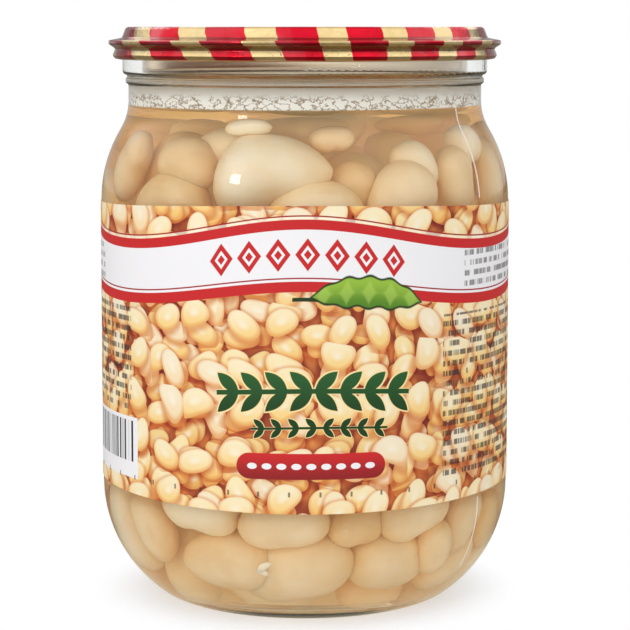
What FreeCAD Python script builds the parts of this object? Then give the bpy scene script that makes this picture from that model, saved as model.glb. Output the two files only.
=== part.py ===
import FreeCAD, Part
import math
import os

# A half-litre glass preserve jar, closed by a seamed tinplate lid, with a paper
# label glued round its body and brine up to the neck.
#
# Frame: millimetres, +Z up along the axis of the jar, origin in the middle of the
# base, on the surface that the jar stands on. The label's front faces -Y.
#
# Every piece is turned round Z. Its section is drawn in the XZ plane as corners
# (radius, height, rounding), so each corner keeps its own rounding.

# ---- Glass: overall ----
BODY_DIAMETER = 88.0
GLASS_HEIGHT = 122.3

# ---- Glass: base ----
HEEL_RADIUS = 29.0          # the large curve from the wall down
TOE_RADIUS = 8.0            # the smaller curve that meets the bearing ring
TOE_ANGLE = 37.0            # degrees turned by the toe before the heel takes over
BEARING_WIDTH = 1.4         # flat ring that the jar stands on
PUSH_UP = 2.4               # height of the hollow under the base
PUSH_UP_RIM = 0.7           # height of the hollow where its dome starts
PUSH_UP_SLOPE = 2.2         # radial width of the slope inside the bearing ring
BASE_THICKNESS = 3.6        # at the centre

# ---- Glass: walls ----
BODY_WALL = 2.4
NECK_WALL = 2.9
INNER_HEEL_RADIUS = 25.0
INNER_TOE_RADIUS = 9.0
INNER_TOE_ANGLE = 33.0
FLOOR_THICKNESS = 4.2       # under the outer edge of the floor
FLOOR_DOME_DIAMETER = 42.0  # inside this the floor rises over the push-up
FLOOR_DOME_ROUND = 12.0

# ---- Glass: shoulder and neck ----
NECK_DIAMETER = 76.0
NECK_END = 15.2             # below the rim, where the neck starts to widen
SHOULDER_TURN = 31.0        # steepest angle of the shoulder from the vertical
SHOULDER_HOLLOW = 12.0      # radius of its upper, hollow curve

# ---- Glass: finish, the stack of rings that the lid is seamed on ----
# Depths are below the rim. A ring that is proud by a width stands that far out
# from the neck's radius.
RIM_PROUD = 0.5
RIM_ROUND = 1.1
SEAL_STEP_DEPTH = 2.75      # foot of the rim's outside
SEAM_BEAD_PROUD = 2.3
SEAM_BEAD_TOP = 3.3
SEAM_BEAD_BOTTOM = 5.0
SEAM_BEAD_ROUND = 0.5
COLLAR_PROUD = 1.25
COLLAR_TOP = 6.0
COLLAR_BOTTOM = 9.6
COLLAR_ROUND = 0.9
GROOVE_PROUD = -0.3
GROOVE_DEPTH = 10.2
GROOVE_ROUND = 0.35
TRANSFER_BEAD_PROUD = 0.6
TRANSFER_BEAD_TOP = 10.6
TRANSFER_BEAD_BOTTOM = 11.5
TRANSFER_BEAD_ROUND = 0.4
NECK_START = 12.0
NECK_ROUND = 0.4

# ---- Lid: one sheet of tinplate, formed over the finish ----
SHEET = 0.25
SEAT_GAP = 0.05             # between the rim and the sheet that lies on it
SHEET_BEND = 0.45           # rounding of the sheet's hollow corners
PLATEAU_OVERHANG = -0.05    # outer corner of the raised ring, out from the rim's side
PLATEAU_REACH = 4.6         # how far the raised ring runs in past the mouth
PLATEAU_ROUND = 0.9
PANEL_SINK = 1.1            # the centre panel lies this far below the plateau
PANEL_STEP = 1.5            # radial width of the step down to the panel
PANEL_BEAD_INSET = 8.0      # from the panel's edge to the middle of its stiffening bead
PANEL_BEAD_WIDTH = 2.2
PANEL_BEAD_HEIGHT = 0.5
PANEL_BEAD_SLOPE = 0.9
DOME_LEAN = 0.85            # foot of the plateau's side, out from the rim's side
DOME_FOOT_LIFT = 0.75       # above the step that the sealing ring lies on
FLANGE_ROOM = 1.9           # flange bead, out from the seam bead, for the sealing ring
FLANGE_LIFT = 0.75          # its upper edge, above the top of the seam bead
FLANGE_HEIGHT = 0.8
FLANGE_ROUND = 0.38
WAIST_GAP = 0.2             # between the rolled-in waist and the seam bead
WAIST_DROP = 0.15           # below the middle of the seam bead
CURL_WIDTH = 0.6            # outward curl, out from the waist
CURL_DROP = 0.75            # below the bottom of the seam bead
CURL_FOOT_WIDTH = 0.05
CURL_FOOT_DROP = 1.45
CURL_ROUND = 0.35
TUCK_GAP = 0.4              # between the turned-in edge of the sheet and the collar
TUCK_DROP = 1.65

# ---- Label ----
LABEL_ABOVE_HEEL = 0.65     # lower edge, above the end of the heel's curve
LABEL_OVER_SHOULDER = 1.9   # upper edge, past the start of the shoulder's curve
PAPER = 0.12
GLUE_GAP = 0.04
LABEL_OVERLAP = 9.0         # width of the glued lap, at the back
LABEL_TOP_ARC = 1.9         # the upper edge is this much lower at the jar's sides
LABEL_FOOT_ARC = 0.8        # the lower edge is this much higher at the jar's sides

# ---- Contents ----
HEADSPACE = 16.6            # from the rim down to the brine's surface
FILL_CLEARANCE = 0.05       # between the brine and the inside of the glass


def across(corner, other):
    """Unit step from one corner towards another, in the section plane."""
    dr = other[0] - corner[0]
    dz = other[1] - corner[1]
    length = math.hypot(dr, dz)
    return dr / length, dz / length, length


def section_edges(corners):
    """Straight edges between the corners, with an arc of its own radius at each."""
    def vector(r, z):
        return FreeCAD.Vector(r, 0, z)

    edges = []
    last = corners[0][:2]
    for before, corner, after in zip(corners, corners[1:], corners[2:]):
        r, z, rounding = corner
        back_r, back_z, _ = across(corner, before)
        on_r, on_z, _ = across(corner, after)
        cos_between = back_r * on_r + back_z * on_z
        half = math.acos(max(-1.0, min(1.0, cos_between))) / 2
        tangent = rounding / math.tan(half)
        start = (r + back_r * tangent, z + back_z * tangent)
        if math.dist(last, start) > 1e-4:
            edges.append(Part.makeLine(vector(*last), vector(*start)))
        last = start
        if rounding > 0 and math.pi - 2 * half > 1e-4:
            end = (r + on_r * tangent, z + on_z * tangent)
            bisector_r = back_r + on_r
            bisector_z = back_z + on_z
            bisector = math.hypot(bisector_r, bisector_z)
            reach = rounding / math.sin(half) - rounding
            middle = (r + bisector_r / bisector * reach, z + bisector_z / bisector * reach)
            edges.append(Part.Arc(vector(*start), vector(*middle), vector(*end)).toShape())
            last = end
    finish = corners[-1][:2]
    if math.dist(last, finish) > 1e-4:
        edges.append(Part.makeLine(vector(*last), vector(*finish)))
    return edges


def parallel(corners, distance):
    """The same corners moved by distance to the right of the way they run."""
    sides = []
    for a, b in zip(corners, corners[1:]):
        dr, dz, _ = across(a, b)
        sides.append((a[0] + dz * distance, a[1] - dr * distance, dr, dz))
    moved = [(sides[0][0], sides[0][1], 0)]
    for (r1, z1, dr1, dz1), (r2, z2, dr2, dz2), corner in zip(sides, sides[1:], corners[1:]):
        turn = dr1 * dz2 - dz1 * dr2
        along = ((r2 - r1) * dz2 - (z2 - z1) * dr2) / turn
        rounding = max(corner[2] + math.copysign(distance, turn), 0.02)
        moved.append((r1 + dr1 * along, z1 + dz1 * along, rounding))
    end_r, end_z, _ = corners[-1]
    _, _, dr, dz = sides[-1]
    moved.append((end_r + dz * distance, end_z - dr * distance, 0))
    return moved


def turned(edges, degrees=360.0, start_degrees=0.0):
    """The solid that a closed section sweeps round Z, from an angle east of +X."""
    face = Part.Face(Part.Wire(Part.__sortEdges__(edges)))
    axis = FreeCAD.Vector(0, 0, 1)
    origin = FreeCAD.Vector(0, 0, 0)
    solid = face.revolve(origin, axis, degrees)
    solid.rotate(origin, axis, start_degrees)
    return solid


def curve_corner(radius, degrees):
    """Distance from a corner to where a curve of this radius and turn leaves it."""
    return radius * math.tan(math.radians(degrees) / 2)


def heel_corners(wall_radius, floor_z, heel_radius, toe_radius, toe_angle):
    """Corners of a heel: floor to toe curve to heel curve to upright wall."""
    heel_turn = 90.0 - toe_angle
    toe = curve_corner(toe_radius, toe_angle)
    heel = curve_corner(heel_radius, heel_turn)
    slope = math.radians(toe_angle)
    toe_r = wall_radius - (toe + heel) * math.cos(slope)
    heel_z = floor_z + (toe + heel) * math.sin(slope)
    return (toe_r, floor_z, toe_radius), (wall_radius, heel_z, heel_radius), toe_r - toe


def shoulder_corners(neck_radius, body_radius, hollow_radius, full_z):
    """Corners of a shoulder, from the body up to the neck; it is full at full_z."""
    turn = math.radians(SHOULDER_TURN)
    full_radius = (body_radius - neck_radius) / (1 - math.cos(turn)) - hollow_radius
    full = curve_corner(full_radius, SHOULDER_TURN)
    hollow = curve_corner(hollow_radius, SHOULDER_TURN)
    body_corner_z = full_z + full
    neck_corner_z = body_corner_z + (full + hollow) * math.cos(turn)
    return (body_radius, body_corner_z, full_radius), (neck_radius, neck_corner_z, hollow_radius)


def shoulder_full_z():
    """Height at which the body reaches its full diameter under the shoulder."""
    turn = math.radians(SHOULDER_TURN)
    both_radii = (BODY_DIAMETER - NECK_DIAMETER) / 2 / (1 - math.cos(turn))
    return GLASS_HEIGHT - NECK_END - both_radii * math.sin(turn)


def ring(proud, depth, rounding):
    """A corner of the finish: how far it is proud of the neck, and its depth."""
    return NECK_DIAMETER / 2 + proud, GLASS_HEIGHT - depth, rounding


def outside_corners():
    """The glass's outside, from the middle of the base up to the top of the rim."""
    body = BODY_DIAMETER / 2
    toe, heel, bearing = heel_corners(body, 0, HEEL_RADIUS, TOE_RADIUS, TOE_ANGLE)
    slope_r = bearing - BEARING_WIDTH
    shoulder, neck = shoulder_corners(
        body_radius=body,
        neck_radius=NECK_DIAMETER / 2,
        hollow_radius=SHOULDER_HOLLOW,
        full_z=shoulder_full_z(),
    )
    return [
        (0, PUSH_UP, 0),
        (slope_r - PUSH_UP_SLOPE, PUSH_UP_RIM, 1.0),
        (slope_r, 0, 0.3),
        toe,
        heel,
        shoulder,
        neck,
        ring(0, NECK_START, NECK_ROUND),
        ring(TRANSFER_BEAD_PROUD, TRANSFER_BEAD_BOTTOM, TRANSFER_BEAD_ROUND),
        ring(TRANSFER_BEAD_PROUD, TRANSFER_BEAD_TOP, TRANSFER_BEAD_ROUND),
        ring(GROOVE_PROUD, GROOVE_DEPTH, GROOVE_ROUND),
        ring(COLLAR_PROUD, COLLAR_BOTTOM, COLLAR_ROUND),
        ring(COLLAR_PROUD, COLLAR_TOP, COLLAR_ROUND),
        ring(SEAM_BEAD_PROUD, SEAM_BEAD_BOTTOM, SEAM_BEAD_ROUND),
        ring(SEAM_BEAD_PROUD, SEAM_BEAD_TOP, SEAM_BEAD_ROUND),
        ring(RIM_PROUD, SEAL_STEP_DEPTH, SEAM_BEAD_ROUND),
        ring(RIM_PROUD, 0, RIM_ROUND),
        ring(RIM_PROUD - RIM_ROUND, 0, 0),
    ]


def inside_corners(clearance=0.0):
    """The glass's inside, from the middle of the floor up to the neck."""
    body = BODY_DIAMETER / 2 - BODY_WALL
    neck_radius = NECK_DIAMETER / 2 - NECK_WALL
    hollow = SHOULDER_HOLLOW + NECK_WALL
    toe, heel, _ = heel_corners(
        body - clearance,
        FLOOR_THICKNESS + clearance,
        INNER_HEEL_RADIUS - clearance,
        INNER_TOE_RADIUS - clearance,
        INNER_TOE_ANGLE,
    )
    shoulder, neck = shoulder_corners(
        body_radius=body - clearance,
        neck_radius=neck_radius - clearance,
        hollow_radius=hollow + clearance,
        full_z=shoulder_full_z(),
    )
    centre = (0, PUSH_UP + BASE_THICKNESS + clearance, 0)
    dome_foot = (FLOOR_DOME_DIAMETER / 2, FLOOR_THICKNESS + clearance, FLOOR_DOME_ROUND)
    return [centre, dome_foot, toe, heel, shoulder, neck]


def jar_glass():
    outside = outside_corners()
    inside = inside_corners()
    mouth = NECK_DIAMETER / 2 - NECK_WALL
    rim_inner = [
        (mouth, GLASS_HEIGHT, RIM_ROUND),
        (mouth + RIM_ROUND, GLASS_HEIGHT, 0),
    ]
    edges = section_edges(outside)
    edges += section_edges(inside + rim_inner)
    rim_top = FreeCAD.Vector(outside[-1][0], 0, GLASS_HEIGHT)
    edges.append(Part.makeLine(rim_top, FreeCAD.Vector(mouth + RIM_ROUND, 0, GLASS_HEIGHT)))
    bottom = FreeCAD.Vector(0, 0, PUSH_UP)
    edges.append(Part.makeLine(bottom, FreeCAD.Vector(0, 0, inside[0][1])))
    return turned(edges)


def brine():
    """The liquid, as wide as the cavity less its clearance, cut level at the top."""
    inside = inside_corners(FILL_CLEARANCE)
    mouth = inside[-1][0]
    above = GLASS_HEIGHT
    edges = section_edges(inside + [(mouth, above, 0)])
    edges.append(Part.makeLine(FreeCAD.Vector(mouth, 0, above), FreeCAD.Vector(0, 0, above)))
    edges.append(Part.makeLine(FreeCAD.Vector(0, 0, above), FreeCAD.Vector(0, 0, inside[0][1])))
    filled = turned(edges)
    surface = FreeCAD.Vector(0, 0, GLASS_HEIGHT - HEADSPACE)
    headspace = Part.makeCylinder(BODY_DIAMETER, GLASS_HEIGHT, surface)
    return filled.cut(headspace)


def lid_corners():
    """The lid's outer skin, from its centre out and down to the tucked edge."""
    top = GLASS_HEIGHT + SEAT_GAP + SHEET
    panel = top - PANEL_SINK
    neck = NECK_DIAMETER / 2
    plateau_in = neck - NECK_WALL - PLATEAU_REACH
    panel_edge = plateau_in - PANEL_STEP
    bead_in = panel_edge - PANEL_BEAD_INSET - PANEL_BEAD_WIDTH / 2
    bead_out = bead_in + PANEL_BEAD_WIDTH
    bead_top = panel + PANEL_BEAD_HEIGHT

    rim = neck + RIM_PROUD
    dome_foot = GLASS_HEIGHT - SEAL_STEP_DEPTH + DOME_FOOT_LIFT
    seam_bead = neck + SEAM_BEAD_PROUD
    flange = seam_bead + FLANGE_ROOM
    flange_top = GLASS_HEIGHT - SEAM_BEAD_TOP + FLANGE_LIFT
    waist = seam_bead + WAIST_GAP + SHEET
    waist_z = GLASS_HEIGHT - (SEAM_BEAD_TOP + SEAM_BEAD_BOTTOM) / 2 - WAIST_DROP
    bead_bottom = GLASS_HEIGHT - SEAM_BEAD_BOTTOM
    return [
        (0, panel, 0),
        (bead_in - PANEL_BEAD_SLOPE, panel, SHEET_BEND),
        (bead_in, bead_top, SHEET_BEND),
        (bead_out, bead_top, SHEET_BEND),
        (bead_out + PANEL_BEAD_SLOPE, panel, SHEET_BEND),
        (panel_edge, panel, SHEET_BEND),
        (plateau_in, top, SHEET_BEND),
        (rim + PLATEAU_OVERHANG, top, PLATEAU_ROUND),
        (rim + DOME_LEAN, dome_foot, SHEET_BEND),
        (flange, flange_top, FLANGE_ROUND),
        (flange, flange_top - FLANGE_HEIGHT, FLANGE_ROUND),
        (waist, waist_z, SHEET_BEND),
        (waist + CURL_WIDTH, bead_bottom - CURL_DROP, CURL_ROUND),
        (waist + CURL_FOOT_WIDTH, bead_bottom - CURL_FOOT_DROP, CURL_ROUND),
        (neck + COLLAR_PROUD + TUCK_GAP, bead_bottom - TUCK_DROP, 0),
    ]


def lid():
    skin = lid_corners()
    lining = parallel(skin, SHEET)
    edges = section_edges(skin) + section_edges(lining)
    for a, b in ((skin[0], lining[0]), (skin[-1], lining[-1])):
        ends = [FreeCAD.Vector(r, 0, z) for r, z, _ in (a, b)]
        edges.append(Part.makeLine(*ends))
    return turned(edges)


def label_heights():
    """The label's lower and upper edge at its front: over the straight wall, from heel to shoulder."""
    _, heel, _ = heel_corners(BODY_DIAMETER / 2, 0, HEEL_RADIUS, TOE_RADIUS, TOE_ANGLE)
    heel_end = heel[1] + curve_corner(HEEL_RADIUS, 90.0 - TOE_ANGLE)
    return heel_end + LABEL_ABOVE_HEEL, shoulder_full_z() + LABEL_OVER_SHOULDER


def paper_band(inner_radius, degrees, start_degrees):
    """A band of paper round the body, with level edges."""
    low, high = label_heights()
    outer_radius = inner_radius + PAPER
    corners = [(inner_radius, low), (outer_radius, low), (outer_radius, high), (inner_radius, high)]
    points = [FreeCAD.Vector(r, 0, z) for r, z in corners]
    edges = [Part.makeLine(a, b) for a, b in zip(points, points[1:] + points[:1])]
    return turned(edges, degrees, start_degrees)


def arc_trim():
    """The block that the label is trimmed to: its top and foot are arcs as seen from the front."""
    low, high = label_heights()
    side = BODY_DIAMETER / 2 + GLUE_GAP + 2 * PAPER
    deep = BODY_DIAMETER

    def vector(x, z):
        return FreeCAD.Vector(x, -deep, z)

    top_left, top_right = vector(-side, high - LABEL_TOP_ARC), vector(side, high - LABEL_TOP_ARC)
    foot_left, foot_right = vector(-side, low + LABEL_FOOT_ARC), vector(side, low + LABEL_FOOT_ARC)
    edges = [
        Part.Arc(top_left, vector(0, high), top_right).toShape(),
        Part.makeLine(top_right, foot_right),
        Part.Arc(foot_right, vector(0, low), foot_left).toShape(),
        Part.makeLine(foot_left, top_left),
    ]
    face = Part.Face(Part.Wire(Part.__sortEdges__(edges)))
    return face.extrude(FreeCAD.Vector(0, 2 * deep, 0))


def label():
    """The paper sleeve and, centred at the back, its lap over its own first edge."""
    inner = BODY_DIAMETER / 2 + GLUE_GAP
    lap_degrees = math.degrees(LABEL_OVERLAP / inner)
    back = 90.0
    sleeve = paper_band(inner, 360.0, back)
    lap = paper_band(inner + PAPER, lap_degrees, back - lap_degrees / 2)
    return sleeve.fuse(lap).removeSplitter().common(arc_trim())


PIECES = {
    "jar_glass": jar_glass,
    "brine": brine,
    "lid": lid,
    "label": label,
}

os.makedirs("parts", exist_ok=True)
for name, make in PIECES.items():
    shape = make()
    solid = shape.Solids[0]
    solid.exportStep(f"parts/{name}.step")
    box = solid.BoundBox
    print(
        f"{name}: {len(shape.Solids)} solid, valid {solid.isValid()}, "
        f"volume {solid.Volume / 1000:.2f} cm3, "
        f"{box.XLength:.2f} x {box.YLength:.2f} x {box.ZLength:.2f} mm, base {box.ZMin:.2f}"
    )
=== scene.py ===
"""The looks of a glass jar of white beans in brine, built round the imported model.

+Z is up and the label faces -Y. Shapes and prints are worked out in millimetres, the stage in metres.
"""

import math
import random
from functools import partialmethod, reduce

import bpy
import numpy as np
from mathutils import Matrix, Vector, noise


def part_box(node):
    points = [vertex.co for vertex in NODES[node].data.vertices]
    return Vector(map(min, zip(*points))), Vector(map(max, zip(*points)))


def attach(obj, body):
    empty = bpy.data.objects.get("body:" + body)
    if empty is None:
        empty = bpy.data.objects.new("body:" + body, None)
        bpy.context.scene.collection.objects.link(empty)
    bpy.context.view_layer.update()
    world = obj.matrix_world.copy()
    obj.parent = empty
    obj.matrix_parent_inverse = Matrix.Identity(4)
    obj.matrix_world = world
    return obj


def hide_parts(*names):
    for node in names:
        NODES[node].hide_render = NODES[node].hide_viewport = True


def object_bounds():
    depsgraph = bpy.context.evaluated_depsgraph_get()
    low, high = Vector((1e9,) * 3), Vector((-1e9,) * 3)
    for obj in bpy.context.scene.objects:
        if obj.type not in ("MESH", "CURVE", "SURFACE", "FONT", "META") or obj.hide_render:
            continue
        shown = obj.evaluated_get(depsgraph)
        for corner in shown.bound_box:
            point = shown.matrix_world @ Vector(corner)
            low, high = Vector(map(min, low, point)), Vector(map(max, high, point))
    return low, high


MM = 0.001
TURN = 2 * math.pi

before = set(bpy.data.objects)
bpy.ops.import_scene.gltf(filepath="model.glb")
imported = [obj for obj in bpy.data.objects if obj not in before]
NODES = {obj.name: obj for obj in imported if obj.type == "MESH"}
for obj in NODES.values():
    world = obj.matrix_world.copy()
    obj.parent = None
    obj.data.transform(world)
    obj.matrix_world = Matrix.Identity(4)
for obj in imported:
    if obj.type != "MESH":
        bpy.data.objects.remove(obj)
CAD_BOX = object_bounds()

random.seed(7)
draws = np.random.default_rng(11)


# ------ shader building


class Shader:
    """The nodes of one material or world. Most calls take plain numbers or sockets, and give a socket."""

    def __init__(self, name, world=False):
        self.material = (bpy.data.worlds if world else bpy.data.materials).new(name)
        self.material.use_nodes = True
        self.tree = self.material.node_tree
        self.tree.nodes.clear()
        self.out = self.tree.nodes.new("ShaderNodeOutputWorld" if world else "ShaderNodeOutputMaterial")

    def put(self, socket, value):
        if isinstance(value, bpy.types.NodeSocket):
            self.tree.links.new(value, socket)
        elif isinstance(value, tuple) and len(value) == 3 and socket.type == "RGBA":
            socket.default_value = (*value, 1)
        else:
            socket.default_value = value

    def node(self, kind, inputs=None, **settings):
        made = self.tree.nodes.new("ShaderNode" + kind)
        for name, value in settings.items():
            setattr(made, name, value)
        for name, value in (inputs or {}).items():
            self.put(made.inputs[name], value)
        return made

    def call(self, kind, *values, **settings):
        """The first output of a node whose inputs are filled in their order."""
        made = self.node(kind, **settings)
        for slot, value in enumerate(values):
            self.put(made.inputs[slot], value)
        return made.outputs[0]

    def math(self, operation, *values):
        return self.call("Math", *values, operation=operation)

    minus = partialmethod(math, "SUBTRACT")
    over = partialmethod(math, "DIVIDE")
    power = partialmethod(math, "POWER")
    root = partialmethod(math, "SQRT")
    smaller = partialmethod(math, "MINIMUM")
    larger = partialmethod(math, "MAXIMUM")
    more = partialmethod(math, "GREATER_THAN")
    less = partialmethod(math, "LESS_THAN")
    size = partialmethod(math, "ABSOLUTE")
    cos = partialmethod(math, "COSINE")
    sin = partialmethod(math, "SINE")
    azimuth = partialmethod(math, "ARCTAN2")

    def add(self, *values):
        return reduce(lambda total, value: self.math("ADD", total, value), values)

    def times(self, *values):
        return reduce(lambda total, value: self.math("MULTIPLY", total, value), values)

    def hypot(self, x, y):
        return self.root(self.add(self.times(x, x), self.times(y, y)))

    def cell(self, value, pitch):
        """How far value is from the middle of its cell, in a row of cells that begins at 0."""
        return self.minus(self.math("FLOORED_MODULO", value, pitch), 0.5 * pitch)

    def lozenge(self, x, y, half_wide, half_high):
        """Under 1 inside a lozenge."""
        return self.add(self.over(self.size(x), half_wide), self.over(self.size(y), half_high))

    def ramp(self, value, low, high, to_low=0.0, to_high=1.0):
        """A smooth step from to_low at low to to_high at high."""
        values = (value, low, high, to_low, to_high)
        return self.call("MapRange", *values, interpolation_type="SMOOTHSTEP", clamp=True)

    def below(self, value, edge, soft):
        """1 where value is under edge, 0 over it."""
        return self.ramp(value, edge - soft, edge + soft, 1.0, 0.0)

    def between(self, value, start, end, soft=0.05):
        """1 where value is from start to end."""
        return self.times(self.ramp(value, start - soft, start + soft), self.below(value, end, soft))

    def mix(self, share, first, second, blend="MIX"):
        """First colour at share 0, second at share 1."""
        made = self.node("Mix", data_type="RGBA", blend_type=blend)
        self.put(made.inputs["Factor"], share)
        self.put(made.inputs[6], first)
        self.put(made.inputs[7], second)
        return made.outputs[2]

    def vector(self, x, y, z=0.0):
        return self.call("CombineXYZ", x, y, z)

    def split(self, vector):
        return tuple(self.node("SeparateXYZ", {"Vector": vector}).outputs)

    def place_mm(self):
        """Where the point lies in the part's frame, in millimetres."""
        where = self.node("TexCoord").outputs["Object"]
        return tuple(self.times(axis, 1000.0) for axis in self.split(where))

    def noise(self, vector, scale, detail=2.0, roughness=0.5):
        inputs = {"Vector": vector, "Scale": scale, "Detail": detail, "Roughness": roughness}
        return self.node("TexNoise", inputs).outputs["Fac"]

    def bump(self, height, strength, distance):
        return self.node("Bump", {"Height": height, "Strength": strength, "Distance": distance}).outputs[0]

    def join(self, share, first, second):
        """First shader at share 0, second at share 1."""
        return self.call("MixShader", share, first, second)

    def sum(self, first, second):
        return self.call("AddShader", first, second)

    def glow(self, colour, strength, kind="Emission"):
        return self.node(kind, {"Color": colour, "Strength": strength}).outputs[0]

    def path(self, fact):
        """What is true of the ray that meets the point."""
        return self.node("LightPath").outputs[fact]

    def principled(self, inputs):
        return self.node("BsdfPrincipled", inputs).outputs[0]

    def show(self, surface, volume=None):
        self.put(self.out.inputs["Surface"], surface)
        if volume is not None:
            self.put(self.out.inputs["Volume"], volume)
        return self.material


def srgb(red, green, blue):
    """A colour given as it looks on a screen, 0 to 255, as linear light."""

    def linear(value):
        value /= 255
        return value / 12.92 if value <= 0.04045 else ((value + 0.055) / 1.055) ** 2.4

    return linear(red), linear(green), linear(blue)


def clear_shader(name, ior, colour, shade, mirror, volume, haze_glow=None):
    """A see-through material that light from lamps and beans goes straight through, tinted by shade.

    volume is the colour and density of its absorption, haze the colour and strength of its painted glow.
    """
    s = Shader(name)
    inputs = {
        "Base Color": colour,
        "Roughness": 0.0,
        "IOR": ior,
        "Transmission Weight": 1.0,
        "Specular Tint": (mirror, mirror, mirror),
    }
    through = s.node("BsdfTransparent", {"Color": shade}).outputs[0]
    lighting = s.larger(s.path("Is Shadow Ray"), s.path("Is Diffuse Ray"))
    surface = s.join(lighting, s.principled(inputs), through)
    inside = s.node("VolumeAbsorption", {"Color": volume[0], "Density": volume[1]}).outputs[0]
    # a glow in the volume: painted light that stands for the brine's cloudiness
    if haze_glow:
        inside = s.sum(inside, s.glow(*haze_glow))
    return s.show(surface, inside)


# ------ materials


def glass_material():
    """Clear glass with a faint green tint where it is seen edge-on."""
    return clear_shader(
        "jar glass",
        ior=1.52,
        colour=(0.99, 0.995, 0.99),
        shade=(0.99, 0.99, 0.985),
        mirror=0.5,
        volume=((0.55, 0.60, 0.46), 14.0),
    )


def brine_material():
    """Amber brine. A faint glow in it stands for the light that its starch scatters."""
    return clear_shader(
        "brine",
        ior=1.34,
        colour=(1.0, 1.0, 1.0),
        shade=(1.0, 0.99, 0.97),
        mirror=0.1,
        volume=((0.76, 0.54, 0.20), 38.0),
        haze_glow=((1.0, 0.77, 0.43), 9.2),
    )


def bean_material(name, pale, deep):
    """Cooked bean skin: cream, mottled, deeper at its ends (partly painted shade), a little light passing
    into it.
    """
    s = Shader(name)
    x, y, z = s.place_mm()
    where = s.vector(x, y, z)
    tint = s.node("Attribute", attribute_name="tint").outputs["Fac"]
    ends = s.node("Attribute", attribute_name="ends").outputs["Fac"]
    cloud = s.ramp(s.noise(where, 0.16, 3.0), 0.3, 0.7)
    share = s.add(s.times(tint, 0.7), s.times(cloud, 0.3))
    colour = s.mix(share, pale, deep)
    # the ends take the deeper tint, partly the bean's own and partly painted shade for the gaps between
    # beans
    colour = s.mix(s.times(ends, 0.55), colour, deep)
    fleck = s.ramp(s.noise(where, 1.3, 2.0), 0.68, 0.76)
    colour = s.mix(s.times(fleck, 0.25), colour, (0.9, 0.82, 0.68))
    skin = {
        "Base Color": colour,
        "Roughness": 0.42,
        "Subsurface Weight": 0.35,
        "Subsurface Radius": (0.0030, 0.0020, 0.0011),
        "Subsurface Scale": 1.0,
        "Normal": s.bump(s.noise(where, 0.9, 3.0), 0.25, 0.0004),
    }
    return s.show(s.principled(skin))


# the lid's print: rays that meet off its middle, in degrees and mm
RAY_PAIRS = 16
RAY_ORIGIN = (6.7, -3.5)
RAY_START = -74.8
RAY_SLIP = 0.42  # degrees that the rays turn for each mm down
RAY_DRAG = 0.71  # mm that their meeting point moves forward for each mm down
DRAG_DEPTH = 1.3
GOLD_SHARE = 0.436
GOLD_MIDDLE = 20.0

# heights on the lid's side: two creases and a shoulder where shade is painted, and a band of dirt
SHADED_CREASES = (120.1, 117.75)
SHADED_SHOULDER = 118.9
SKIRT_DIRT = 117.3


def ray_print(s, x, y, z, radius, depth):
    """Crimson and gold rays which slip a little where the sheet is pressed, and where they are gold."""
    origin_y = s.minus(RAY_ORIGIN[1], s.times(s.larger(s.minus(depth, DRAG_DEPTH), 0.0), RAY_DRAG))
    azimuth = s.azimuth(s.minus(x, RAY_ORIGIN[0]), s.minus(origin_y, y))
    drift = s.noise(s.vector(s.cos(azimuth), s.sin(azimuth), s.times(radius, 0.02)), 1.2, 1.0)
    slip = s.times(depth, math.radians(RAY_SLIP))
    start = s.add(slip, s.times(s.minus(drift, 0.5), 0.03), math.radians(RAY_START))
    along = s.math("FRACT", s.add(s.times(s.minus(azimuth, start), RAY_PAIRS / TURN), 100.0))
    gold_share = s.times(s.below(along, GOLD_SHARE, 0.006), s.ramp(along, 0.0, 0.012))
    top = s.below(radius, GOLD_MIDDLE, 0.1)
    where = s.vector(x, y, z)
    red = s.mix(s.noise(where, 0.35, 2.0), srgb(216, 2, 40), srgb(190, 0, 26))
    gold = s.mix(s.noise(where, 0.5, 2.0), srgb(236, 212, 158), srgb(216, 186, 124))
    return s.mix(s.larger(gold_share, top), red, gold), gold_share


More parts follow.
